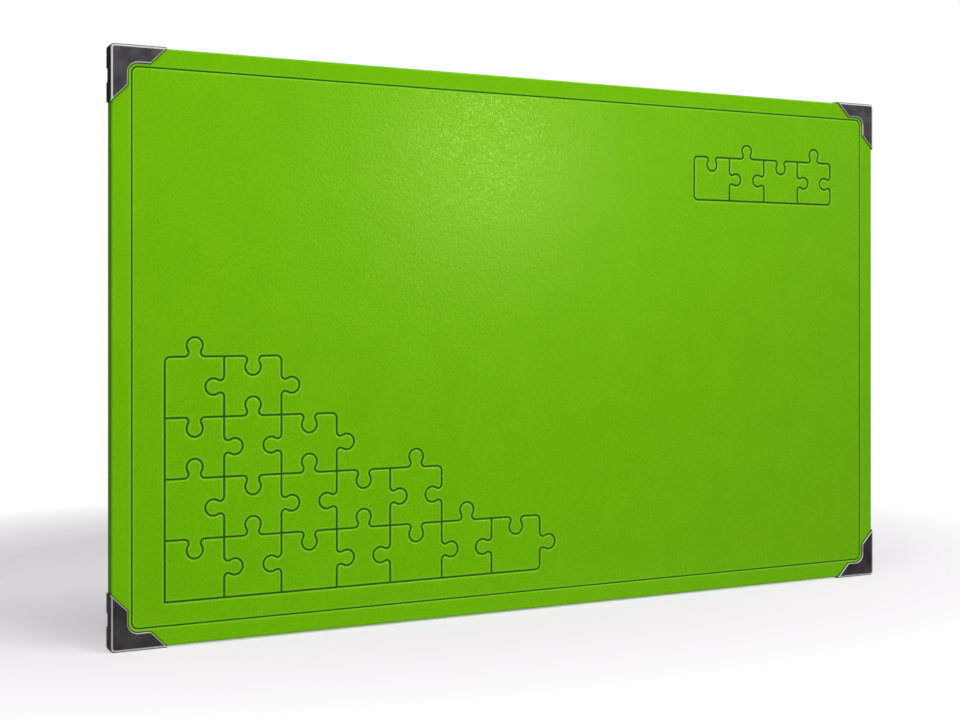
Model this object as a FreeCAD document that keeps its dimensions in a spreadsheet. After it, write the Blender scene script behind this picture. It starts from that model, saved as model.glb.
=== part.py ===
import FreeCAD, Part
import Sketcher
import math
import os

# Jigsaw puzzle board: a rigid laminated panel that stands on its long edge.
# Millimetres. +X runs along the width, +Z is up and the front faces -Y.
# The origin lies under the middle of the board, where its two lower corner guards stand.
# From front to back the panel is leatherette, foam and wood board. The leatherette turns in
# over the back edge, and felt fills the window that its turn-ins leave.

SIZES = {
    "board_width": 600.0,
    "board_height": 370.0,
    "board_corner_radius": 2.0,
    "core_thickness": 6.0,
    "foam_thickness": 2.0,
    "leather_thickness": 0.8,
    "front_edge_radius": 1.5,
    "back_edge_radius": 1.0,
    "border_inset": 12.5,
    "border_radius": 4.0,
    "groove_radius": 0.7,
    "groove_depth": 0.5,
    "turn_in_width": 12.5,
    "window_radius": 4.0,
    "mitre_gap": 0.3,
    "felt_thickness": 1.6,
    "felt_gap": 0.2,
    "felt_edge_bevel": 0.4,
    "pressed_gap": 0.1,
    "guard_leg": 35.0,
    "guard_band": 10.0,
    "guard_sheet": 0.8,
    "guard_gap": 0.1,
    "guard_inner_bend": 0.7,
    "guard_rim_chamfer": 0.4,
    "notch_place": 18.0,
    "notch_length": 9.0,
    "notch_depth": 4.0,
    "notch_reach": 2.6,
    "notch_corner_radius": 1.6,
}

# Sizes that follow from the sheet. A depth is measured forwards from the middle of the panel.
HALF_PANEL = "(sizes.leather_thickness + (sizes.foam_thickness + sizes.core_thickness) / 2)"
INNER_FRONT = f"({HALF_PANEL} - sizes.leather_thickness)"
INNER_WIDTH = "(sizes.board_width - 2 * sizes.leather_thickness)"
INNER_HEIGHT = "(sizes.board_height - 2 * sizes.leather_thickness)"
INNER_CORNER = "(sizes.board_corner_radius - sizes.leather_thickness)"
INNER_EDGE = "(sizes.front_edge_radius - sizes.leather_thickness)"
WINDOW_WIDTH = "(sizes.board_width - 2 * sizes.turn_in_width)"
WINDOW_HEIGHT = "(sizes.board_height - 2 * sizes.turn_in_width)"
GROOVE_LIFT = "(sizes.groove_radius - sizes.groove_depth)"
BEAD_RADIUS = "(sizes.groove_radius + sizes.leather_thickness)"
GUARD_PROUD = "(sizes.guard_gap + sizes.guard_sheet)"
GUARD_HOLLOW = f"({HALF_PANEL} + sizes.guard_gap)"
GUARD_FACE = f"({HALF_PANEL} + {GUARD_PROUD})"
GUARD_CUT = f"(sizes.guard_band + {GUARD_PROUD})"
# A hidden edge that would be round gets one flat, which touches the middle of that round.
FLAT_SHARE = "(2 - sqrt(2))"
NEAR = 0.001

doc = FreeCAD.newDocument("JigsawPuzzleBoard")
sheet = doc.addObject("Spreadsheet::Sheet", "sizes")
for row, (alias, value) in enumerate(SIZES.items(), start=1):
    sheet.set(f"A{row}", alias.replace("_", " "))
    sheet.set(f"B{row}", str(value))
    sheet.setAlias(f"B{row}", alias)
doc.recompute()


def size(expression):
    """The present value of an expression on the sheet."""
    return float(sheet.evalExpression(expression.replace("sizes.", "")))


# Drawing and feature helpers

def new_body(label, height="0"):
    body = doc.addObject("PartDesign::Body", label)
    body.Label = label
    body.setExpression("Placement.Base.z", height)
    return body


def new_sketch(body, name, role, across="0", up="0", out="0", turn=0):
    """A sketch on one of the body's origin planes, moved along its own three axes."""
    sketch = body.newObject("Sketcher::SketchObject", name)
    support = next(item for item in body.Origin.OriginFeatures if item.Role == role)
    sketch.AttachmentSupport = (support, [""])
    sketch.MapMode = "FlatFace"
    sketch.AttachmentOffset = FreeCAD.Placement(
        FreeCAD.Vector(), FreeCAD.Rotation(FreeCAD.Vector(0, 0, 1), turn))
    sketch.setExpression("AttachmentOffset.Base.x", across)
    sketch.setExpression("AttachmentOffset.Base.y", up)
    sketch.setExpression("AttachmentOffset.Base.z", out)
    return sketch


def dimension(sketch, expression, kind, *places):
    index = sketch.addConstraint(Sketcher.Constraint(kind, *places, size(expression)))
    sketch.setExpression(f"Constraints[{index}]", expression)


def line(sketch, start, end):
    ends = [FreeCAD.Vector(*point, 0) for point in (start, end)]
    return sketch.addGeometry(Part.LineSegment(*ends))


def quarter_arc(sketch, centre, radius, quarter):
    """A quarter circle that runs anticlockwise from quarter times 90 degrees."""
    circle = Part.Circle(FreeCAD.Vector(*centre, 0), FreeCAD.Vector(0, 0, 1), radius)
    start = math.radians(90 * quarter)
    return sketch.addGeometry(Part.ArcOfCircle(circle, start, start + math.radians(90)))


def rounded_rectangle(sketch, width, height, radius):
    """A closed outline about the sketch's origin, of four sides and four quarter arcs."""
    side = size(width) / 2
    top = size(height) / 2
    round_ = size(radius)
    x = side - round_
    y = top - round_
    edges = [
        line(sketch, (-x, -top), (x, -top)),
        quarter_arc(sketch, (x, -y), round_, 3),
        line(sketch, (side, -y), (side, y)),
        quarter_arc(sketch, (x, y), round_, 0),
        line(sketch, (x, top), (-x, top)),
        quarter_arc(sketch, (-x, y), round_, 1),
        line(sketch, (-side, y), (-side, -y)),
        quarter_arc(sketch, (-x, -y), round_, 2),
    ]
    for edge, following in zip(edges, edges[1:] + edges[:1]):
        sketch.addConstraint(Sketcher.Constraint("Tangent", edge, 2, following, 1))
    low, right, high, left = edges[::2]
    arcs = edges[1::2]
    for level in (low, high):
        sketch.addConstraint(Sketcher.Constraint("Horizontal", level))
    for upright in (left, right):
        sketch.addConstraint(Sketcher.Constraint("Vertical", upright))
    for arc in arcs[1:]:
        sketch.addConstraint(Sketcher.Constraint("Equal", arcs[0], arc))
    sketch.addConstraint(Sketcher.Constraint("Symmetric", arcs[0], 3, arcs[2], 3, -1, 1))
    dimension(sketch, width, "DistanceX", left, 1, right, 1)
    dimension(sketch, height, "DistanceY", low, 1, high, 1)
    dimension(sketch, radius, "Radius", arcs[0])


def rectangle(sketch, width, height):
    """Four sides about the sketch's origin."""
    x = size(width) / 2
    y = size(height) / 2
    corners = [(-x, -y), (x, -y), (x, y), (-x, y)]
    sides = [line(sketch, *pair) for pair in zip(corners, corners[1:] + corners[:1])]
    for side, following in zip(sides, sides[1:] + sides[:1]):
        sketch.addConstraint(Sketcher.Constraint("Coincident", side, 2, following, 1))
    for index, side in enumerate(sides):
        level = "Vertical" if index % 2 else "Horizontal"
        sketch.addConstraint(Sketcher.Constraint(level, side))
    sketch.addConstraint(Sketcher.Constraint("Symmetric", sides[0], 1, sides[2], 1, -1, 1))
    dimension(sketch, width, "DistanceX", sides[0], 1, sides[0], 2)
    dimension(sketch, height, "DistanceY", sides[1], 1, sides[1], 2)


def pad(body, sketch, length, backwards=False):
    feature = body.newObject("PartDesign::Pad", f"{sketch.Name}_pad")
    feature.Profile = sketch
    feature.Reversed = backwards
    feature.setExpression("Length", length)
    doc.recompute()
    return feature


def pocket(body, sketch, length):
    """A cut that starts at the sketch and runs against the sketch's own direction."""
    feature = body.newObject("PartDesign::Pocket", f"{sketch.Name}_pocket")
    feature.Profile = sketch
    feature.setExpression("Length", length)
    doc.recompute()
    return feature


def dress(body, kind, name, radius, wanted):
    """Fillet or chamfer the edges of the body whose middle point is wanted."""
    base = body.Tip
    chosen = []
    for number, edge in enumerate(base.Shape.Edges, start=1):
        middle = edge.valueAt((edge.FirstParameter + edge.LastParameter) / 2)
        if wanted(middle):
            chosen.append(f"Edge{number}")
    feature = body.newObject(f"PartDesign::{kind}", name)
    feature.Base = (base, chosen)
    feature.setExpression("Radius" if kind == "Fillet" else "Size", radius)
    doc.recompute()
    return feature


def at_depth(middle, depth):
    return abs(-middle.y - depth) < NEAR


# Panel pieces, drawn about the middle of the board and lifted to their place

PANEL_MIDDLE = f"sizes.board_height / 2 + {GUARD_PROUD}"


def border_path(body, name):
    """The line that the border groove follows, as deep as the middle of its round section."""
    path = new_sketch(body, name, "XZ_Plane", out=f"{HALF_PANEL} + {GROOVE_LIFT}")
    rounded_rectangle(path, "sizes.board_width - 2 * sizes.border_inset",
                      "sizes.board_height - 2 * sizes.border_inset", "sizes.border_radius")
    return path


def section_sketch(body, name):
    """A sketch square to the border line's lower side, about the middle of the section."""
    return new_sketch(body, name, "YZ_Plane", across=f"-({HALF_PANEL} + {GROOVE_LIFT})",
                      up="sizes.border_inset - sizes.board_height / 2")


def circle_section(body, name, radius):
    sketch = section_sketch(body, name)
    circle = sketch.addGeometry(Part.Circle(
        FreeCAD.Vector(), FreeCAD.Vector(0, 0, 1), size(radius)))
    sketch.addConstraint(Sketcher.Constraint("Coincident", circle, 3, -1, 1))
    dimension(sketch, radius, "Radius", circle)
    return sketch


def bead_section(body, name):
    """The part of the bead that hangs from the middle of the skin into the foam."""
    sketch = section_sketch(body, name)
    radius = size(BEAD_RADIUS)
    chord = size(f"{GROOVE_LIFT} + sizes.leather_thickness / 2")
    rise = (radius ** 2 - chord ** 2) ** 0.5
    ends = [FreeCAD.Vector(chord, -rise, 0), FreeCAD.Vector(chord, rise, 0)]
    arc = sketch.addGeometry(Part.Arc(ends[0], FreeCAD.Vector(radius, 0, 0), ends[1]))
    side = sketch.addGeometry(Part.LineSegment(ends[1], ends[0]))
    sketch.addConstraint(Sketcher.Constraint("Coincident", arc, 3, -1, 1))
    sketch.addConstraint(Sketcher.Constraint("Coincident", arc, 2, side, 1))
    sketch.addConstraint(Sketcher.Constraint("Coincident", arc, 1, side, 2))
    sketch.addConstraint(Sketcher.Constraint("Vertical", side))
    dimension(sketch, BEAD_RADIUS, "Radius", arc)
    dimension(sketch, f"{GROOVE_LIFT} + sizes.leather_thickness / 2", "DistanceX",
              -1, 1, side, 1)
    return sketch


def pipe(body, kind, profile, path):
    feature = body.newObject(f"PartDesign::{kind}", f"{profile.Name}_pipe")
    feature.Profile = profile
    feature.Spine = (path, [""])
    doc.recompute()
    return feature


def core_board():
    """Wood board that makes the panel stiff."""
    body = new_body("core_board", PANEL_MIDDLE)
    outline = new_sketch(body, "core_outline", "XZ_Plane", out=f"-{INNER_FRONT}")
    rounded_rectangle(outline, INNER_WIDTH, INNER_HEIGHT, INNER_CORNER)
    pad(body, outline, "sizes.core_thickness")
    return body


def foam_pad():
    """Foam over the whole front of the core, pressed in along the border line."""
    body = new_body("foam_pad", PANEL_MIDDLE)
    outline = new_sketch(body, "foam_outline", "XZ_Plane",
                         out=f"{INNER_FRONT} - sizes.foam_thickness")
    rounded_rectangle(outline, INNER_WIDTH, INNER_HEIGHT, INNER_CORNER)
    pad(body, outline, "sizes.foam_thickness")
    front = size(INNER_FRONT)
    dress(body, "Chamfer", "foam_edge", f"({INNER_EDGE} + sizes.pressed_gap) * {FLAT_SHARE}",
          lambda middle: at_depth(middle, front))
    path = border_path(body, "foam_border_path")
    section = circle_section(body, "foam_groove", f"{BEAD_RADIUS} + sizes.pressed_gap")
    pipe(body, "SubtractivePipe", section, path)
    return body


def leatherette_cover():
    """One sheet: it covers the front, wraps the edges and turns in over the back."""
    body = new_body("leatherette_cover", PANEL_MIDDLE)
    outline = new_sketch(body, "cover_outline", "XZ_Plane", out=f"-{HALF_PANEL}")
    rounded_rectangle(outline, "sizes.board_width", "sizes.board_height",
                      "sizes.board_corner_radius")
    pad(body, outline, f"2 * {HALF_PANEL}")
    front = size(HALF_PANEL)
    dress(body, "Fillet", "cover_front_edge", "sizes.front_edge_radius",
          lambda middle: at_depth(middle, front))
    dress(body, "Fillet", "cover_back_edge", "sizes.back_edge_radius",
          lambda middle: at_depth(middle, -front))

    hollow = new_sketch(body, "cover_hollow", "XZ_Plane", out=INNER_FRONT)
    rounded_rectangle(hollow, INNER_WIDTH, INNER_HEIGHT, INNER_CORNER)
    pocket(body, hollow, f"2 * {INNER_FRONT}")
    inner_front = size(INNER_FRONT)
    dress(body, "Chamfer", "cover_inner_edge", f"{INNER_EDGE} * {FLAT_SHARE}",
          lambda middle: at_depth(middle, inner_front))

    window = new_sketch(body, "cover_window", "XZ_Plane", out=f"-{INNER_FRONT}")
    rounded_rectangle(window, WINDOW_WIDTH, WINDOW_HEIGHT, "sizes.window_radius")
    pocket(body, window, "sizes.leather_thickness")
    mitre_cuts(body)

    path = border_path(body, "cover_border_path")
    pipe(body, "AdditivePipe", bead_section(body, "cover_bead"), path)
    pipe(body, "SubtractivePipe",
         circle_section(body, "cover_groove", "sizes.groove_radius"), path)
    return body


def mitre_cuts(body):
    """The turn-ins meet at each corner in a mitre, cut once and mirrored to the others."""
    reach = "sizes.turn_in_width + sizes.window_radius"
    place = f"({reach} + sizes.board_corner_radius) / 2"
    seam = new_sketch(body, "turn_in_mitre", "XZ_Plane", turn=45, out=f"-{INNER_FRONT}",
                      across=f"{place} - sizes.board_width / 2",
                      up=f"{place} - sizes.board_height / 2")
    rectangle(seam, f"({reach} - sizes.board_corner_radius) / cos(45 deg)",
              "sizes.mitre_gap")
    cut = pocket(body, seam, "sizes.leather_thickness")
    planes = {item.Role: item for item in body.Origin.OriginFeatures}
    mirrors = []
    for role in ("YZ_Plane", "XY_Plane"):
        mirror = doc.addObject("PartDesign::Mirrored", f"mitre_mirror_{role[:2].lower()}")
        mirror.MirrorPlane = (planes[role], [""])
        mirrors.append(mirror)
    pattern = body.newObject("PartDesign::MultiTransform", "mitre_corners")
    pattern.Originals = [cut]
    pattern.Transformations = mirrors
    body.Tip = pattern
    doc.recompute()


def felt_work_surface():
    """Felt sheet glued to the back of the core, in the window of the turn-ins."""
    body = new_body("felt_work_surface", PANEL_MIDDLE)
    outline = new_sketch(body, "felt_outline", "XZ_Plane", out=f"-{INNER_FRONT}")
    rounded_rectangle(outline, f"{WINDOW_WIDTH} - 2 * sizes.felt_gap",
                      f"{WINDOW_HEIGHT} - 2 * sizes.felt_gap",
                      "sizes.window_radius - sizes.felt_gap")
    pad(body, outline, "sizes.felt_thickness", backwards=True)
    outside = -size(f"{INNER_FRONT} + sizes.felt_thickness")
    dress(body, "Chamfer", "felt_edge", "sizes.felt_edge_bevel",
          lambda middle: at_depth(middle, outside))
    return body


# Corner guards, pressed from sheet steel: two plates and the wall that joins them

def guard_outline(sketch):
    """Two legs with ends cut at 45 degrees, drawn from the board's own sharp corner."""
    leg = size("sizes.guard_leg")
    band = size("sizes.guard_band")
    proud = size(GUARD_PROUD)
    corner = size("sizes.board_corner_radius")
    centre = size("sizes.border_inset + sizes.border_radius")
    inner_end = leg - size(GUARD_CUT)
    foot = line(sketch, (corner, -proud), (leg, -proud))
    foot_cut = line(sketch, (leg, -proud), (inner_end, band))
    foot_inner = line(sketch, (inner_end, band), (centre, band))
    inner_arc = quarter_arc(sketch, (centre, centre), centre - band, 2)
    side_inner = line(sketch, (band, centre), (band, inner_end))
    side_cut = line(sketch, (band, inner_end), (-proud, leg))
    side = line(sketch, (-proud, leg), (-proud, corner))
    outer_arc = quarter_arc(sketch, (corner, corner), corner + proud, 2)
    for join in ((foot, 2, foot_cut, 1), (foot_cut, 2, foot_inner, 1),
                 (side_inner, 2, side_cut, 1), (side_cut, 2, side, 1)):
        sketch.addConstraint(Sketcher.Constraint("Coincident", *join))
    for join in ((foot_inner, 2, inner_arc, 2), (inner_arc, 1, side_inner, 1),
                 (side, 2, outer_arc, 1), (outer_arc, 2, foot, 1)):
        sketch.addConstraint(Sketcher.Constraint("Tangent", *join))
    for level in (foot, foot_inner):
        sketch.addConstraint(Sketcher.Constraint("Horizontal", level))
    for upright in (side, side_inner):
        sketch.addConstraint(Sketcher.Constraint("Vertical", upright))
    dimension(sketch, GUARD_PROUD, "DistanceY", foot, 1, -1, 1)
    dimension(sketch, GUARD_PROUD, "DistanceX", side, 1, -1, 1)
    dimension(sketch, "sizes.guard_leg", "DistanceX", -1, 1, foot, 2)
    dimension(sketch, "sizes.guard_leg", "DistanceY", -1, 1, side, 1)
    dimension(sketch, "sizes.guard_band", "DistanceY", -1, 1, foot_inner, 1)
    dimension(sketch, "sizes.guard_band", "DistanceX", -1, 1, side_inner, 1)
    dimension(sketch, GUARD_CUT, "DistanceX", foot_cut, 2, foot_cut, 1)
    dimension(sketch, GUARD_CUT, "DistanceY", side_cut, 1, side_cut, 2)
    dimension(sketch, f"sizes.board_corner_radius + {GUARD_PROUD}", "Radius", outer_arc)
    dimension(sketch, "sizes.border_inset + sizes.border_radius - sizes.guard_band",
              "Radius", inner_arc)


def relief_notch(body, name, role, across, up, width, height):
    """A slot over the rear bend of one leg, which lets the back plate fold."""
    notch = new_sketch(body, name, role, across=across, up=up, out="sizes.notch_reach")
    rounded_rectangle(notch, width, height, "sizes.notch_corner_radius")
    pocket(body, notch, f"sizes.notch_reach + 2 * {GUARD_PROUD}")


def corner_guard(label, turn, side, level):
    """One guard, drawn for the lower left corner and turned about Y to its own corner."""
    body = new_body(label, f"{GUARD_PROUD} + {level} * sizes.board_height")
    body.Placement.Rotation = FreeCAD.Rotation(FreeCAD.Vector(0, 1, 0), turn)
    body.setExpression("Placement.Base.x", f"{side} * sizes.board_width / 2")

    face = size(GUARD_FACE)
    proud = size(GUARD_PROUD)
    gap = size("sizes.guard_gap")
    corner = size("sizes.board_corner_radius")

    def on_wall(middle, distance):
        in_corner = middle.x < corner and middle.z < corner
        return min(middle.x, middle.z) < NEAR - distance or in_corner

    blank = new_sketch(body, f"{label}_blank", "XZ_Plane", out=f"-{GUARD_FACE}")
    guard_outline(blank)
    pad(body, blank, f"2 * {GUARD_FACE}")
    dress(body, "Fillet", f"{label}_outer_bend",
          "sizes.guard_inner_bend + sizes.guard_sheet",
          lambda middle: abs(abs(middle.y) - face) < NEAR and on_wall(middle, proud))
    dress(body, "Chamfer", f"{label}_rim", "sizes.guard_rim_chamfer",
          lambda middle: abs(abs(middle.y) - face) < NEAR
          and min(middle.x, middle.z) > NEAR - proud)

    hollow = new_sketch(body, f"{label}_hollow", "XZ_Plane", out=GUARD_HOLLOW,
                        across="sizes.guard_leg", up="sizes.guard_leg")
    hollow_side = "2 * (sizes.guard_leg + sizes.guard_gap)"
    rounded_rectangle(hollow, hollow_side, hollow_side,
                      "sizes.board_corner_radius + sizes.guard_gap")
    pocket(body, hollow, f"2 * {GUARD_HOLLOW}")
    inside = size(GUARD_HOLLOW)
    dress(body, "Chamfer", f"{label}_inner_bend", f"sizes.guard_inner_bend * {FLAT_SHARE}",
          lambda middle: abs(abs(middle.y) - inside) < NEAR and on_wall(middle, gap))

    seam_reach = "sizes.border_inset + sizes.border_radius"
    seam_place = f"({seam_reach} + sizes.board_corner_radius) / 2"
    seam = new_sketch(body, f"{label}_seam", "XZ_Plane", turn=45,
                      across=seam_place, up=seam_place, out=f"-{GUARD_HOLLOW}")
    rectangle(seam, f"({seam_reach} - sizes.board_corner_radius) / cos(45 deg)",
              "sizes.mitre_gap")
    pocket(body, seam, "2 * sizes.guard_sheet")

    notch_across = "2 * sizes.notch_depth"
    relief_notch(body, f"{label}_foot_notch", "XY_Plane", "sizes.notch_place", GUARD_FACE,
                 "sizes.notch_length", notch_across)
    relief_notch(body, f"{label}_side_notch", "YZ_Plane", GUARD_FACE, "sizes.notch_place",
                 notch_across, "sizes.notch_length")
    return body


# The pieces, from the inside out

pieces = [core_board(), foam_pad(), leatherette_cover(), felt_work_surface()]
for corner_name, turn, side, level in (
        ("bottom_left", 0, -1, 0), ("bottom_right", -90, 1, 0),
        ("top_right", 180, 1, 1), ("top_left", 90, -1, 1)):
    pieces.append(corner_guard(f"corner_guard_{corner_name}", turn, side, level))
doc.recompute()

# Checks, then one STEP file for each piece

for item in doc.Objects:
    if "Invalid" in item.State or "Error" in item.State:
        raise RuntimeError(f"{item.Name} failed: {item.State}")
os.makedirs("parts", exist_ok=True)
for piece in pieces:
    shape = piece.Shape
    if shape.isNull() or not shape.isValid() or len(shape.Solids) != 1:
        raise RuntimeError(f"{piece.Label} is not one valid solid")
    shape.exportStep(f"parts/{piece.Label}.step")
    box = shape.BoundBox
    print(f"{piece.Label}: {shape.Volume:.1f} mm3, {len(shape.Faces)} faces, "
          f"X {box.XMin:.2f} to {box.XMax:.2f}, Y {box.YMin:.2f} to {box.YMax:.2f}, "
          f"Z {box.ZMin:.2f} to {box.ZMax:.2f}")
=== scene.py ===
import cmath
import math

import bmesh
import bpy
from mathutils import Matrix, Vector


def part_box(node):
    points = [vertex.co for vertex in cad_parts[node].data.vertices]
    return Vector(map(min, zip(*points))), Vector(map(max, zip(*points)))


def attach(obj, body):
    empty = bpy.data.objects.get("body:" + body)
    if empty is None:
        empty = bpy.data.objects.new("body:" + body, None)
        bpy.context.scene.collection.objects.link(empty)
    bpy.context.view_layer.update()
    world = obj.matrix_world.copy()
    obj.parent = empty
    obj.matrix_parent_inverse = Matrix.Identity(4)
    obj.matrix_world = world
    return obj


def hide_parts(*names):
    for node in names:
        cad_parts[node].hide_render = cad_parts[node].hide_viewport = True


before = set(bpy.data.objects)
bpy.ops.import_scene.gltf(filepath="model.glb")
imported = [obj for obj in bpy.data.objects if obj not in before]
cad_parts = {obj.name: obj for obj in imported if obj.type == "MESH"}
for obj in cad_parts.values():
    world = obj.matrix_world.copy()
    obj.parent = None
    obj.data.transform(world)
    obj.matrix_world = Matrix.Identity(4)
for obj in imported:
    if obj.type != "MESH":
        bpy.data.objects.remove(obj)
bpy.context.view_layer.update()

MM = 0.001


# Camera
# It stands to the left of the board, a little above half its height, and looks level.
# The four front corners of the board fix its place, its turn and its lens.

board_low, board_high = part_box("leatherette_cover")
camera_place = Vector((-0.51455, board_low.y - 0.91288, 0.20806))
camera_turn = math.radians(-27.07)
focal_pixels = 1496.07
image_width, image_height = 960, 721
horizon_row = 311.6

camera_data = bpy.data.cameras.new("camera")
camera_data.lens = camera_data.sensor_width * focal_pixels / image_width
camera_data.shift_y = (horizon_row - image_height / 2) / image_width
camera = bpy.data.objects.new("camera", camera_data)
camera.location = camera_place
camera.rotation_euler = (math.radians(90), 0, camera_turn)
bpy.context.collection.objects.link(camera)
bpy.context.scene.camera = camera


# Core board
# Wood fibreboard, sawn to size. The layers glued to it hide all but its saw cut.
# The CAD solid is its real shape, so it stays and gets the look of pressed fibre.

board_middle = (board_low.z + board_high.z) / 2
half_height = (board_high.z - board_low.z) / 2

fibre_cell = 0.8 * MM
fibre_relief = 0.1 * MM
fleck_cell = 5 * MM
fleck_share = 0.4


class Value:
    """One output of a finish's nodes. Arithmetic on it adds the Math nodes."""

    def __init__(self, socket):
        self.socket = socket

    def math(self, operation, *operands):
        """A Math node beside the one that this value comes from."""
        node = self.socket.node.id_data.nodes.new("ShaderNodeMath")
        node.operation = operation
        for place, operand in zip(node.inputs, operands):
            feed(place, operand)
        return Value(node.outputs[0])

    def __add__(self, other):
        return self.math("ADD", self, other)

    def __radd__(self, other):
        return self.math("ADD", other, self)

    def __sub__(self, other):
        return self.math("SUBTRACT", self, other)

    def __rsub__(self, other):
        return self.math("SUBTRACT", other, self)

    def __mul__(self, other):
        return self.math("MULTIPLY", self, other)

    def __truediv__(self, other):
        return self.math("DIVIDE", self, other)

    def __abs__(self):
        return self.math("ABSOLUTE", self)

    def root(self):
        return self.math("SQRT", self)

    def least(self, other):
        return self.math("MINIMUM", self, other)

    def most(self, other):
        return self.math("MAXIMUM", self, other)

    def under(self, limit):
        """1 where the value is under the limit and 0 elsewhere."""
        return self.math("LESS_THAN", self, limit)

    def over(self, limit):
        """1 where the value is over the limit and 0 elsewhere."""
        return self.math("GREATER_THAN", self, limit)


def feed(place, value):
    """Link a value from the nodes to a socket, or write a plain one in it."""
    if isinstance(value, Value):
        value.socket.node.id_data.links.new(value.socket, place)
    else:
        place.default_value = value


class Finish:
    """A material with one Principled shader, whose constants are given by name."""

    def __init__(self, name, **constants):
        self.material = bpy.data.materials.new(name)
        self.material.use_nodes = True
        self.tree = self.material.node_tree
        self.shader = self.tree.nodes["Principled BSDF"]
        for words, value in constants.items():
            self.shader.inputs[words.replace("_", " ")].default_value = value

    def node(self, kind, settings=None, inputs=None, output=0):
        """Any node: first its settings, then the values or links of its sockets."""
        node = self.tree.nodes.new(kind)
        for key, value in (settings or {}).items():
            if key == "stops":
                set_stops(node.color_ramp, value)
            else:
                setattr(node, key, value)
        for key, value in (inputs or {}).items():
            feed(node.inputs[key], value)
        return Value(node.outputs[output])

    def place(self, cell, stretch=(1, 1, 1)):
        """Object coordinates, in which one cell measures 1."""
        here = self.node("ShaderNodeTexCoord", output="Object")
        scale = [share / cell for share in stretch]
        return self.node("ShaderNodeMapping", inputs={"Vector": here, "Scale": scale})

    def noise(self, cell, detail, stretch=(1, 1, 1), distortion=0.0, output=0):
        """Soft random values, mostly from 0.3 to 0.7, in lumps of about a cell."""
        return self.node("ShaderNodeTexNoise", inputs={
            "Vector": self.place(cell, stretch), "Scale": 1.0, "Detail": detail,
            "Distortion": distortion}, output=output)

    def cells(self, where):
        """Distance from the middle of the nearest random cell, in cells."""
        return self.node("ShaderNodeTexVoronoi", {"feature": "F1"},
                         {"Vector": where, "Scale": 1.0})

    def places(self):
        """The three object coordinates, as single values in metres."""
        here = self.node("ShaderNodeTexCoord", output="Object")
        return [self.node("ShaderNodeSeparateXYZ", inputs={0: here}, output=axis)
                for axis in "XYZ"]

    def beyond(self, inset, radius):
        """Distance outwards from a line with round corners, drawn inside the board's edge."""
        across, _, up = self.places()
        side = (abs(across) - (board_high.x - inset - radius)).most(0.0)
        level = (abs(up - board_middle) - (half_height - inset - radius)).most(0.0)
        return (side * side + level * level).root() - radius

    def within_guard(self):
        """Distance inwards from the cut outline of a corner guard's plate."""
        across, _, up = self.places()
        to_side = board_high.x - abs(across)
        to_level = half_height - abs(up - board_middle)
        to_end = (guard_end_line - to_side - to_level) / math.sqrt(2)
        to_inside = self.beyond(guard_band, guard_inner_radius)
        return to_end.least(to_inside)

    def ramp(self, value, *stops):
        """A level or colour for each value: stops are pairs of a place from 0 to 1 and a tone."""
        return self.node("ShaderNodeValToRGB", {"stops": stops}, {"Fac": value})

    def shade(self, share, first, second):
        """A blend of two colours."""
        return self.node("ShaderNodeMix", {"data_type": "RGBA"},
                         {"Factor": share, 6: first, 7: second}, output=2)

    def bump(self, height, distance):
        """The normal of a relief whose height is 1 at this distance from the surface."""
        return self.node("ShaderNodeBump", inputs={"Height": height, "Distance": distance})

    def set(self, words, value):
        feed(self.shader.inputs[words], value)


def set_stops(ramp, stops):
    while len(ramp.elements) < len(stops):
        ramp.elements.new(1.0)
    for element, (position, colour) in zip(ramp.elements, stops):
        element.position = position
        element.color = colour if hasattr(colour, "__len__") else (colour, colour, colour, 1)


def seen_as(red, green, blue):
    """A colour as a screen shows it, from 0 to 255, turned into a shader's colour."""
    def linear(level):
        share = level / 255
        return share / 12.92 if share < 0.04045 else ((share + 0.055) / 1.055) ** 2.4
    return (linear(red), linear(green), linear(blue), 1.0)


def wear(thing, finish):
    thing.data.materials.clear()
    thing.data.materials.append(finish.material)


dark_fibre = seen_as(140, 104, 66)
light_fibre = seen_as(186, 150, 105)

fibreboard = Finish("pressed_fibreboard", Roughness=0.9)
fibre = fibreboard.noise(fibre_cell, detail=4.0, stretch=(1, 3, 1))
flecks = fibreboard.noise(fleck_cell, detail=3.0)
fibreboard.set("Base Color", fibreboard.ramp(
    fibre * (1 - fleck_share) + flecks * fleck_share,
    (0.35, dark_fibre), (0.65, light_fibre)))
fibreboard.set("Normal", fibreboard.bump(fibre, fibre_relief))

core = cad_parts["core_board"]
wear(core, fibreboard)


# Foam pad
# Soft foam sheet between the core and the leatherette, glued over the whole front.
# The border line is pressed through the leatherette and leaves a channel in it.

border_inset = 12.5 * MM
border_radius = 4 * MM
border_half_width = 0.5 * MM
border_depth = 0.5 * MM
border_reach = 1.9 * MM
groove_steepness = 3.6
lip_spacing = 1.6
same_place = 0.01 * MM
same_direction = 0.01
weld_distance = 0.0001 * MM

foam_inset = 0.1 * MM
foam_corner = 1.2 * MM
foam_rim = 0.7 * MM
foam_cell = 0.6 * MM
foam_relief = 0.2 * MM
dark_foam = seen_as(150, 149, 142)
light_foam = seen_as(222, 220, 212)


def only(thing):
    """Select one object and nothing else."""
    bpy.ops.object.select_all(action="DESELECT")
    bpy.context.view_layer.objects.active = thing
    thing.select_set(True)


def block(name, low, high):
    """A cube stretched between two corners, with its place in its mesh."""
    bpy.ops.object.select_all(action="DESELECT")
    bpy.ops.mesh.primitive_cube_add(size=1, location=(low + high) / 2)
    made = bpy.context.object
    made.name = name
    made.data.name = name
    made.scale = high - low
    bpy.ops.object.transform_apply(location=True, rotation=True, scale=True)
    return made


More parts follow.
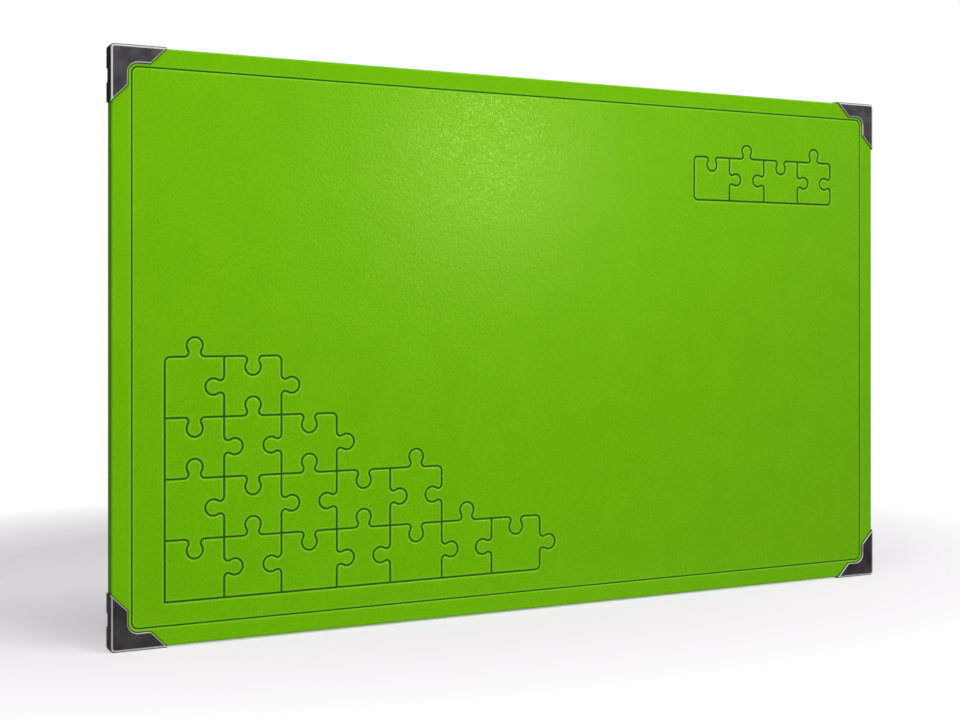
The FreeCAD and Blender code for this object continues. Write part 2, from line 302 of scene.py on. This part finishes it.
def bevel_where(thing, wanted, size, steps):
    """Round the edges whose two ends are wanted."""
    only(thing)
    bpy.ops.object.mode_set(mode="EDIT")
    bpy.ops.mesh.select_mode(type="EDGE")
    bpy.ops.mesh.select_all(action="DESELECT")
    mesh = bmesh.from_edit_mesh(thing.data)
    for edge in mesh.edges:
        if wanted(edge.verts[0].co, edge.verts[1].co):
            edge.select_set(True)
    bmesh.update_edit_mesh(thing.data)
    bpy.ops.mesh.bevel(offset=size, segments=steps, affect="EDGES")
    bpy.ops.object.mode_set(mode="OBJECT")


def near(first, second):
    return abs(first - second) < same_place


def panel(name, low, high, corner, front=0.0, back=0.0, steps=6):
    """A flat block with four round corners, and round rims before and behind."""
    made = block(name, low, high)
    bevel_where(made, lambda a, b: near(a.x, b.x) and near(a.z, b.z), corner, steps)
    for level, radius in ((low.y, front), (high.y, back)):
        if radius:
            bevel_where(made, lambda a, b: near(a.y, level) and near(b.y, level),
                        radius, steps)
    return made


def modify(thing, kind, **settings):
    """Add one modifier and apply it."""
    only(thing)
    modifier = thing.modifiers.new(kind.lower(), kind)
    for key, value in settings.items():
        setattr(modifier, key, value)
    bpy.ops.object.modifier_apply(modifier=modifier.name)


def carve(thing, tool, operation="DIFFERENCE"):
    """Take the tool's volume from the piece or add it, and delete the tool."""
    modify(thing, "BOOLEAN", operation=operation, solver="EXACT", object=tool)
    bpy.data.objects.remove(tool)


def smooth(thing, angle=35):
    """Smooth shading up to an angle, in which the large flat faces stay flat."""
    only(thing)
    bpy.ops.object.shade_smooth_by_angle(angle=math.radians(angle))
    modify(thing, "WEIGHTED_NORMAL", keep_sharp=True, weight=100)


def curve_object(name, points, closed):
    """A flat curve through complex numbers, whose real part is across."""
    curve = bpy.data.curves.new(name, "CURVE")
    curve.dimensions = "2D"
    spline = curve.splines.new("POLY")
    spline.points.add(len(points) - 1)
    for point, place in zip(spline.points, points):
        point.co = (place.real, place.imag, 0, 1)
    spline.use_cyclic_u = closed
    made = bpy.data.objects.new(name, curve)
    bpy.context.collection.objects.link(made)
    return made


def press(path, half_width, depth, reach, level, closed=False, stations=8):
    """A tool that presses a line in the board's plane, down from a level of Y.
    Its section is a bell: steep at the half width, with lips that fade out at the reach."""
    side = [reach * (index / stations) ** lip_spacing for index in range(stations + 1)]
    right = [complex(x, -depth / (1 + (x / half_width) ** groove_steepness)) for x in side]
    right.append(complex(reach, depth))
    left = [complex(-point.real, point.imag) for point in right[:0:-1]]
    section = curve_object("section", left + right, closed=True)
    made = curve_object("pressing_tool", path, closed)
    made.data.bevel_mode = "OBJECT"
    made.data.bevel_object = section
    made.data.use_fill_caps = not closed
    made.rotation_euler = (math.radians(90), 0, 0)
    made.location.y = level
    only(made)
    bpy.ops.object.convert(target="MESH")
    bpy.ops.object.transform_apply(location=True, rotation=True, scale=True)
    bpy.ops.object.mode_set(mode="EDIT")
    bpy.ops.mesh.select_all(action="SELECT")
    bpy.ops.mesh.remove_doubles(threshold=weld_distance)
    bpy.ops.mesh.normals_make_consistent(inside=False)
    bpy.ops.object.mode_set(mode="OBJECT")
    bpy.data.objects.remove(section)
    return made


def arc(centre, radius, start, turn, steps):
    """Points on an arc, from a start angle through a turn, both in degrees."""
    return [centre + cmath.rect(radius, math.radians(start + turn * index / steps))
            for index in range(steps + 1)]


border_low = complex(board_low.x + border_inset, board_low.z + border_inset)
border_high = complex(board_high.x - border_inset, board_high.z - border_inset)
border_line = []
for quarter in range(4):
    across = border_high.real if quarter in (0, 3) else border_low.real
    up = border_high.imag if quarter in (0, 1) else border_low.imag
    inwards = cmath.rect(border_radius * math.sqrt(2), math.radians(225 + 90 * quarter))
    border_line += arc(complex(across, up) + inwards, border_radius, 90 * quarter, 90, 10)

foam_low, foam_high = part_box("foam_pad")
foam = panel("foam_layer", foam_low, foam_high, foam_corner, foam_rim, steps=3)
carve(foam, press(border_line, border_half_width + foam_inset, border_depth + foam_inset,
                  border_reach, foam_low.y, closed=True))
smooth(foam)

foam_finish = Finish("open_cell_foam", Roughness=0.95)
bubbles = foam_finish.cells(foam_finish.place(foam_cell))
foam_finish.set("Base Color", foam_finish.ramp(bubbles, (0.1, dark_foam), (0.7, light_foam)))
foam_finish.set("Normal", foam_finish.bump(bubbles, foam_relief))
wear(foam, foam_finish)
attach(foam, "root")
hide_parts("foam_pad")


# Leatherette cover
# One sheet of grained green leatherette, stretched over the foam and turned in behind.
# A heated tool presses the border line and the outlines of jigsaw pieces into it.

leather_thickness = 0.8 * MM
turn_in_width = 12.5 * MM
window_radius = 4 * MM
mitre_gap = 0.3 * MM
board_corner = 2 * MM
front_rim = 1.5 * MM
back_rim = 1.0 * MM

drawing_half_width = 0.62 * MM
drawing_depth = 0.55 * MM
drawing_reach = 1.9 * MM
drawing_growth = 0.005
line_overlap = 0.3 * MM
corner_pitch = 38 * MM
strip_pitch = 32 * MM

# Radii of a jigsaw piece and the height of its knob's middle, as shares of its side.
neck_share = 0.068
head_share = 0.137
lift_share = 0.184
corner_share = 0.09

# The grain is a relief of pebbles, wrinkles and pores.
grain_cell = 1.4 * MM
grain_relief = 0.02 * MM
wander_cell = 1.3 * MM
wander_share = 1.1
wrinkle_cell = 2.0 * MM
wrinkle_relief = 0.11 * MM
wrinkle_distortion = 1.2
pore_cell = 0.4 * MM
pore_relief = 0.004 * MM
dye_cell = 28 * MM

# What each of them, and each pressed or folded place, adds to the roughness.
leather_roughness = 0.03
dye_dullness = 0.1
wrinkle_dullness = 0.34
rim_dullness = 0.35
wrapped_dullness = 0.6
lip_shine = 0.1

# The dye, the other colours, and how much of each of them shows at most.
dark_green = seen_as(104, 175, 1)
light_green = seen_as(107, 178, 1)
crease_green = seen_as(92, 160, 1)
crease_share = 0.35
# The lips beside the pressed lines are paler: partly stretched leatherette, partly a painted
# highlight.
stretched_and_highlight_green = seen_as(140, 205, 60)
stretched_and_highlight_share = 0.35
# Dark green of the pressed lines, partly from the tool's heat and partly painted shade in the
# grooves; also the painted shade on the wrapped sides.
burn_and_shade_green = seen_as(34, 80, 0)
painted_side_shade_share = 0.6
guard_shadow_green = seen_as(18, 28, 8)
guard_shadow_share = 0.85
front_layer = 0.3 * MM

# The plates of the corner guards, as on their solids, and the painted shadow line along their
# edges.
guard_leg = 35 * MM
guard_band = 10 * MM
guard_proud = 0.9 * MM
guard_inner_radius = border_inset + border_radius - guard_band
guard_end_line = guard_leg - guard_proud
guard_shadow_width = 0.9 * MM

skin_gap = Vector((leather_thickness,) * 3)
skin = panel("leatherette_skin", board_low, board_high, board_corner, front_rim, back_rim)
carve(skin, panel("hollow", board_low + skin_gap, board_high - skin_gap,
                  board_corner - leather_thickness, front_rim - leather_thickness, steps=3))
window_low = Vector((board_low.x + turn_in_width, 0, board_low.z + turn_in_width))
window_high = Vector((board_high.x - turn_in_width, 2 * board_high.y,
                      board_high.z - turn_in_width))
carve(skin, panel("window", window_low, window_high, window_radius, steps=8))

# Each turn-in corner is a mitre: a narrow cut from the window out to the corner.
mitre_reach = turn_in_width + window_radius - board_corner
for side in (-1, 1):
    for level in (-1, 1):
        half = Vector((mitre_reach / math.sqrt(2), leather_thickness, mitre_gap / 2))
        slot = block("mitre", -half, half)
        corner = Vector((side * board_high.x, 0, board_high.z if level > 0 else board_low.z))
        inwards = Vector((-side, 0, -level)) * (board_corner + mitre_reach / 2)
        slot.location = corner + inwards + Vector((0, board_high.y, 0))
        slot.rotation_euler.y = math.radians(-45 * side * level)
        only(slot)
        bpy.ops.object.transform_apply(location=True, rotation=True, scale=True)
        carve(skin, slot)

border_shape = (border_half_width, border_depth, border_reach)
carve(skin, press(border_line, *border_shape, board_low.y + leather_thickness, closed=True),
      "UNION")
carve(skin, press(border_line, *border_shape, board_low.y, closed=True))


def knob(start, end, side):
    """The round knob in the middle of one side of a jigsaw piece, left or right of it."""
    pitch = abs(end - start)
    along = (end - start) / pitch
    neck = neck_share * pitch
    head = head_share * pitch
    lift = lift_share * pitch
    spread = math.sqrt((head + neck) ** 2 - (lift - neck) ** 2)
    lean = math.degrees(math.atan2(lift - neck, spread))
    points = arc(complex(pitch / 2 - spread, neck), neck, -90, 90 + lean, 5)
    points += arc(complex(pitch / 2, lift), head, 180 + lean, -180 - 2 * lean, 14)[1:]
    points += arc(complex(pitch / 2 + spread, neck), neck, 180 - lean, 90 + lean, 5)[1:]
    if side < 0:
        points = [point.conjugate() for point in points]
    return [start + along * point for point in points]


def piece_corner(before, place, after):
    """The round corner where a line turns from one side of a piece to the next."""
    pitch = abs(place - before)
    came = (place - before) / pitch
    goes = (after - place) / abs(after - place)
    goes_straight_on = abs(came - goes) < same_direction
    if goes_straight_on:
        return []
    radius = corner_share * pitch
    turn = 90 if (goes / came).imag > 0 else -90
    start = math.degrees(cmath.phase(-goes))
    return arc(place + radius * (goes - came), radius, start, turn, 6)


def piece_line(origin, pitch, nodes):
    """A line along the nodes of a grid. Its sides have knobs, but for the straight edges."""
    places = [origin + pitch * node for node in nodes]
    closed = nodes[0] == nodes[-1]
    places_after = places[2:] + [places[1] if closed else None]
    points = []
    for here, following, start, end, after in zip(
            nodes, nodes[1:], places, places[1:], places_after):
        on_edge = here.real == following.real == 0 or here.imag == following.imag == 0
        if not on_edge:
            middle = (here + following) / 2
            odd = (math.floor(middle.real) + math.floor(middle.imag)) % 2
            forwards = (following - here).real + (following - here).imag
            points += knob(start, end, (1 - 2 * odd) * forwards)
        if after is not None:
            points += piece_corner(start, end, after)
    if not closed:
        points.insert(0, places[0] + (places[0] - places[1]) / pitch * line_overlap)
        points.append(places[-1] + (places[-1] - places[-2]) / pitch * line_overlap)
    return points, closed


def walk(start, moves):
    """Grid nodes met on a walk, such as R7 D1: seven to the right, then one down."""
    steps = {"R": 1, "L": -1, "U": 1j, "D": -1j}
    nodes = [complex(start)]
    for move in moves.split():
        for _ in range(int(move[1:])):
            nodes.append(nodes[-1] + steps[move[0]])
    return nodes


# Low on the left lies a finished corner of a jigsaw, of seven, five, three and two pieces.
corner_origin = complex(board_low.x + 33 * MM, board_low.z + 27 * MM)
corner_lines = ((0, "R7 U1 L7"), (0, "U4 R2 D4"), (2j, "R5 D2"), (3j, "R3 D3"),
                (1, "U4"), (4, "U2"), (6, "U1"))
# High on the right lies a strip of four joined edge pieces.
strip_origin = complex(board_low.x + 430 * MM, board_low.z + 290 * MM)
strip_lines = ((0, "R4 U1 L4 D1"), (1, "U1"), (2, "U1"), (3, "U1"))

drawing = [piece_line(corner_origin, corner_pitch, walk(*line)) for line in corner_lines]
drawing += [piece_line(strip_origin, strip_pitch, walk(*line)) for line in strip_lines]
# Each line is pressed a trace wider than the last, so that no two tools share a face.
for index, (line, closed) in enumerate(drawing):
    growth = 1 + index * drawing_growth
    carve(skin, press(line, drawing_half_width * growth, drawing_depth * growth,
                      drawing_reach * growth, board_low.y, closed, stations=6))
smooth(skin)

leather = Finish("green_leatherette", IOR=1.5, Specular_Tint=(0.75, 1.0, 0.21, 1),
                 Specular_IOR_Level=0.35)
wander = leather.noise(wander_cell, detail=1.0, output="Color")
bent = leather.node("ShaderNodeVectorMath", {"operation": "SCALE"},
                    {0: wander, "Scale": wander_share})
grain_place = leather.node("ShaderNodeVectorMath", {"operation": "ADD"},
                           {0: leather.place(grain_cell), 1: bent})
pebbles = leather.cells(grain_place)
pores = leather.noise(pore_cell, detail=1.0)
wrinkles = leather.noise(wrinkle_cell, detail=1.0, distortion=wrinkle_distortion)
height = (1 - pebbles * pebbles) * grain_relief + wrinkles * wrinkle_relief + pores * pore_relief

# Masks: the flat face, pressed lines and their lips, the rim outside the border line,
# what wraps round the edge, and the painted shadow along each guard.
_, depth, _ = leather.places()
on_face = (1 - depth.over(board_low.y + leather_thickness)) * leather.beyond(
    front_rim, board_corner).under(0.0)
# The pressed lines are painted dark: partly the tool's heat, partly painted shade in the grooves.
groove_burn_and_shade = leather.ramp((depth - board_low.y) / MM, (0.18, 0.0), (0.4, 1.0)) * on_face
flattened = leather.ramp(leather.beyond(border_inset, border_radius) / MM, (0.0, 0.0),
                         (1.0, 1.0)) * depth.under(board_low.y + front_layer)
dye = leather.noise(dye_cell, detail=3.0)
face_colour = leather.ramp(dye, (0.35, dark_green), (0.65, light_green))
crease = leather.ramp(pebbles, (0.4, 0.0), (0.8, 1.0))
grained_colour = leather.shade(crease * crease_share, face_colour, crease_green)
wrapped = leather.ramp((depth - board_low.y) / front_rim, (0.3, 0.0), (0.9, 1.0))
lip = leather.ramp((depth - board_low.y) / MM, (0.0, 0.0), (0.03, 1.0), (0.12, 1.0),
                   (0.2, 0.0)) * on_face
# A painted shadow: a dark line on the leatherette along the edge of each guard.
guard_shadow = leather.ramp(leather.within_guard() / (2 * guard_shadow_width) + 0.5, (0.05, 0.0),
                       (0.25, 1.0), (0.6, 1.0), (0.95, 0.0))
# Paler lips: partly stretched leatherette, partly painted highlight.
stretched_and_highlight_colour = leather.shade(lip * stretched_and_highlight_share, grained_colour, stretched_and_highlight_green)
# What wraps round the edge, the sides and turn-ins, is painted darker: painted shade.
burn_and_shade_mask = groove_burn_and_shade.most(wrapped * painted_side_shade_share)
burn_and_shade_colour = leather.shade(burn_and_shade_mask, stretched_and_highlight_colour, burn_and_shade_green)
leather.set("Base Color", leather.shade(
    guard_shadow * guard_shadow_share, burn_and_shade_colour, guard_shadow_green))
leather.set("Roughness", leather_roughness + dye * dye_dullness + wrinkles * wrinkle_dullness
            + flattened * rim_dullness + wrapped * wrapped_dullness - lip * lip_shine)
leather.set("Normal", leather.bump(height, 1.0))
wear(skin, leather)
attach(skin, "root")
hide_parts("leatherette_cover")


# Felt work surface
# Dark needled felt, glued to the back of the core in the window of the turn-ins.
# Its cut edge is a little crushed, and its face carries a nap of short loose fibres.

felt_edge = 0.5 * MM
felt_gap = 0.2 * MM
felt_fibre = 0.5 * MM
nap_relief = 0.35 * MM
cloud_cell = 14 * MM
cloud_share = 0.25
dark_felt = seen_as(38, 38, 40)
light_felt = seen_as(74, 74, 77)

felt_low, felt_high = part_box("felt_work_surface")
felt = panel("felt_sheet", felt_low, felt_high, window_radius - felt_gap, back=felt_edge,
             steps=5)
smooth(felt, angle=60)

felt_finish = Finish("charcoal_felt", Roughness=1.0, Specular_IOR_Level=0.1,
                     Sheen_Weight=0.35, Sheen_Roughness=0.6)
long_fibres = felt_finish.noise(felt_fibre, detail=5.0, stretch=(0.35, 1, 1))
cross_fibres = felt_finish.noise(felt_fibre, detail=5.0, stretch=(1, 1, 0.35))
nap = long_fibres * 0.5 + cross_fibres * 0.5
clouds = felt_finish.noise(cloud_cell, detail=4.0)
felt_finish.set("Base Color", felt_finish.ramp(
    nap * (1 - cloud_share) + clouds * cloud_share, (0.38, dark_felt), (0.62, light_felt)))
felt_finish.set("Normal", felt_finish.bump(nap, nap_relief))
wear(felt, felt_finish)
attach(felt, "root")
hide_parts("felt_work_surface")


# Corner guards
# Pressed sheet steel with a black nickel plating, folded over each corner of the board.
# The CAD solids are their real shape, so they stay and get the plated finish.

polish_width = 0.8 * MM
bend_width = 2 * MM
facing_limit = 0.4
haze_cell = 9 * MM
haze_dullness = 0.12
speck_cell = 0.5 * MM
speck_dullness = 0.06
speck_relief = 0.01 * MM
plating_roughness = 0.16
dark_plating = (0.066, 0.062, 0.066, 1)
light_plating = (0.114, 0.107, 0.113, 1)
polish_and_highlight_plating = (0.85, 0.83, 0.82, 1)

nickel = Finish("black_nickel", Metallic=1.0, Specular_Tint=(0.45, 0.45, 0.45, 1))
haze = nickel.noise(haze_cell, detail=3.0)
specks = nickel.noise(speck_cell, detail=3.0)
facing = nickel.node("ShaderNodeNewGeometry", output="Normal")
frontal = abs(nickel.node("ShaderNodeSeparateXYZ", inputs={0: facing}, output="Y"))
# The rims are a polished cut edge, partly painted highlight; the middle of each bend, where its
# normal faces a set way, gets painted highlight lines.
rim = nickel.ramp(nickel.within_guard() / polish_width, (0.55, 1.0), (0.85, 0.0)) * (
    frontal.over(facing_limit))
inside_edge = 0 - nickel.beyond(0.0, bend_width)
bend_highlight = nickel.ramp(inside_edge / bend_width, (0.3, 1.0), (0.42, 0.0)) * nickel.ramp(
    frontal, (0.78, 0.0), (0.88, 1.0))
plating = nickel.ramp(haze, (0.35, dark_plating), (0.65, light_plating))
nickel.set("Base Color", nickel.shade(rim.most(bend_highlight), plating, polish_and_highlight_plating))
nickel.set("Roughness", haze * haze_dullness + specks * speck_dullness + plating_roughness)
nickel.set("Normal", nickel.bump(specks, speck_relief))
for name in ("bottom_left", "bottom_right", "top_left", "top_right"):
    wear(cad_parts[f"corner_guard_{name}"], nickel)


# Floor and studio
# A pale floor that turns plain white away from the board, under soft lamps.
# The white world is seen by the camera and in reflections; it lights softly.

shadow_share = 0.6
painted_shadow_tone = (0.82, 0.79, 0.82, 1)
lit_tone = (0.95, 0.92, 0.95, 1)
lit_tone_in_front = (0.95, 0.79, 0.96, 1)
shadow_centre = (-0.02, 0.25, 0)
shadow_inner = 0.24
shadow_outer = 0.47
shadow_stretch = 0.75
floor_in_gloss = 0.3
floor_in_bounce = 0.6
backdrop_in_gloss = 0.95
front_in_gloss = 0.75
side_in_gloss = 0.15
ambient = 0.1
key_power = 0.068
sun_power = 40.207
top_power = 18.217
fill_power = 3.44
left_power = 0.6
right_power = 2.0
back_power = 18.0

bpy.ops.object.select_all(action="DESELECT")
bpy.ops.mesh.primitive_plane_add(size=40, location=(0, 0, 0))
floor = bpy.context.object
floor.name = "floor"
paper = Finish("white_paper", Roughness=0.8)
away = paper.node("ShaderNodeVectorMath", {"operation": "DISTANCE"}, {
    0: paper.place(1.0, stretch=(shadow_stretch, 1, 1)), 1: shadow_centre}, output="Value")
plain = paper.ramp(away, (shadow_inner, 1 - shadow_share), (shadow_outer, 1.0))
camera_ray = paper.node("ShaderNodeLightPath", output="Is Camera Ray")
glossy_ray = paper.node("ShaderNodeLightPath", output="Is Glossy Ray")
# Just in front of the board the floor takes less green, since the face throws green on it.
_, floor_depth, _ = paper.places()
in_front = paper.ramp(floor_depth + 0.5, (0.1, 0.0), (0.25, 1.0), (0.4, 1.0), (0.5, 0.0))
lit = paper.node("ShaderNodeBsdfDiffuse", inputs={
    "Color": paper.shade(in_front * (1 - glossy_ray), lit_tone, lit_tone_in_front)})
# Near the board the plain white is painted grey: a painted shadow around the board, centred where
# its shadow falls.
tone = paper.ramp(away, (shadow_inner, painted_shadow_tone), (shadow_outer, 1.0))
bright = paper.node("ShaderNodeEmission", inputs={
    "Color": tone, "Strength": camera_ray + glossy_ray * floor_in_gloss
    + (1 - camera_ray - glossy_ray) * floor_in_bounce})
blend = paper.node("ShaderNodeMixShader", inputs={0: plain, 1: lit, 2: bright})
feed(paper.tree.nodes["Material Output"].inputs["Surface"], blend)
wear(floor, paper)

world = bpy.data.worlds.new("studio")
bpy.context.scene.world = world
world.use_nodes = True


class Studio(Finish):
    """The same node tools for the world's own tree."""

    def __init__(self, tree):
        self.tree = tree


studio = Studio(world.node_tree)
camera_ray, glossy_ray = (studio.node("ShaderNodeLightPath", output=kind)
                          for kind in ("Is Camera Ray", "Is Glossy Ray"))
# In reflections the white stands behind the board to the right, and low in front of it.
way = studio.node("ShaderNodeTexCoord", output="Generated")
way_x, way_y, way_z = (studio.node("ShaderNodeSeparateXYZ", inputs={0: way}, output=axis)
                       for axis in "XYZ")
backdrop = studio.ramp(way_y, (0.0, 0.0), (0.2, 1.0)) * studio.ramp(
    way_x, (0.05, 0.0), (0.2, 1.0))
front = (1 - studio.ramp(way_y + 0.5, (0.2, 0.0), (0.7, 1.0))) * studio.ramp(
    way_z + 0.5, (0.4, 0.25), (0.65, 1.0))
mirrored = backdrop * backdrop_in_gloss + front * front_in_gloss + side_in_gloss
strength = camera_ray + glossy_ray * mirrored + (1 - camera_ray - glossy_ray) * ambient
feed(world.node_tree.nodes["Background"].inputs["Strength"], strength)
feed(world.node_tree.nodes["Background"].inputs["Color"], (1.0, 1.0, 1.0, 1.0))


def softbox(name, place, target, width, height, power, in_gloss=True, spread=180):
    """A rectangular area lamp that faces a target, with a spread in degrees."""
    light = bpy.data.lights.new(name, "AREA")
    light.shape = "RECTANGLE"
    light.size = width
    light.size_y = height
    light.energy = power
    light.spread = math.radians(spread)
    lamp = bpy.data.objects.new(name, light)
    lamp.location = place
    lamp.rotation_euler = (Vector(target) - Vector(place)).to_track_quat("-Z", "Y").to_euler()
    lamp.visible_camera = False
    lamp.visible_glossy = in_gloss
    bpy.context.collection.objects.link(lamp)
    return lamp


# The key lamp makes the glow on the face. The sun and the top lamp light the face and
# the floor, and the back lamp lights only the board, so that its felt can be seen.
softbox("key", (0.53, -1.13, 0.45), (-0.03, 0, 0.30), 0.12, 0.2, key_power, spread=34)
softbox("sun", (1.14, -2.6, 1.8), (-0.1, 0, 0.1), 1.6, 0.8, sun_power, in_gloss=False)
softbox("top", (0.0, -0.45, 1.6), (0, 0, 0.2), 1.4, 0.6, top_power, in_gloss=False)
softbox("fill", (-1.1, -1.0, 0.25), (-0.25, 0, 0.0), 0.9, 0.5, fill_power, in_gloss=False)
softbox("left", (-1.2, -0.25, 0.35), (-0.3, 0, 0.2), 0.12, 1.2, left_power)
softbox("right", (1.5, 0.3, 0.6), (0, 0, 0.2), 0.6, 1.2, right_power)
back = softbox("back", (0.6, 1.6, 0.7), (0, 0, 0.19), 0.8, 0.8, back_power, in_gloss=False)
on_board = bpy.data.collections.new("on_board")
for piece in [foam, skin, felt, *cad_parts.values()]:
    on_board.objects.link(piece)
back.light_linking.receiver_collection = on_board

bpy.context.scene.view_settings.view_transform = "Standard"
